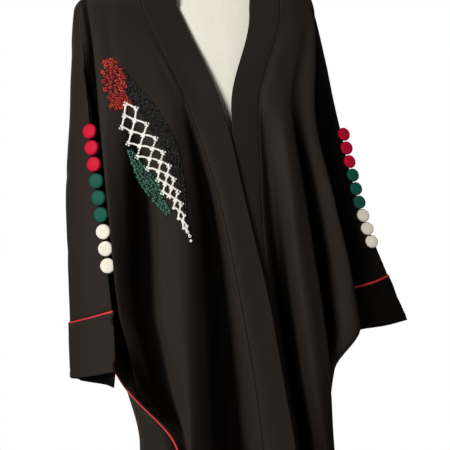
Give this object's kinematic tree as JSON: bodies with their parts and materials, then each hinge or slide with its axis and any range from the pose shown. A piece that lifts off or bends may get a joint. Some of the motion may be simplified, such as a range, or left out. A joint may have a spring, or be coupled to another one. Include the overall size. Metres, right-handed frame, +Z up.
{
  "type": "abaya on a dress form",
  "caption": "Long open-front abaya of butterfly cut, with deep cuffs, covered buttons down the sleeves, piped seams and a beaded chest patch, on a limbless linen dress form with a pole stand.",
  "frame": {"origin": "middle of the underside of the floor disc, on the floor", "axes": "+Z up, -Y towards the garment's front, +X towards the wearer's left"},
  "size_m": [0.6099, 0.355, 1.5493],
  "materials": {
    "black_cloth": "soft, slightly slubbed crepe",
    "red_piping": "satin",
    "red_button": "satin",
    "green_button": "satin",
    "cream_button": "satin",
    "red_beads": "glossy",
    "black_beads": "glossy",
    "net_beads": "pearly",
    "green_beads": "glossy",
    "linen": "plain weave",
    "wood": "satin varnish",
    "dark_metal": "satin"
  },
  "bodies": {
    "root": {"front_band_right": "black_cloth", "front_right": "black_cloth", "back_upper": "black_cloth", "back_lower": "black_cloth", "front_left": "black_cloth", "front_band_left": "black_cloth", "neck_band": "black_cloth", "cuff_right": "black_cloth", "cuff_left": "black_cloth", "cuff_piping_right": "red_piping", "cuff_piping_left": "red_piping", "side_piping_right": "red_piping", "side_piping_left": "red_piping", "button_right_1": "red_button", "button_right_2": "red_button", "button_right_3": "red_button", "button_right_4": "green_button", "button_right_5": "green_button", "button_right_6": "green_button", "button_right_7": "cream_button", "button_right_8": "cream_button", "button_right_9": "cream_button", "button_left_1": "red_button", "button_left_2": "red_button", "button_left_3": "red_button", "button_left_4": "green_button", "button_left_5": "green_button", "button_left_6": "green_button", "button_left_7": "cream_button", "button_left_8": "cream_button", "button_left_9": "cream_button", "patch_red": "red_beads", "patch_black": "black_beads", "patch_net": "net_beads", "patch_green": "green_beads", "form_torso": "linen", "neck_cap": "wood", "pole": "dark_metal", "base_disc": "dark_metal"}
  },
  "joints": []
}
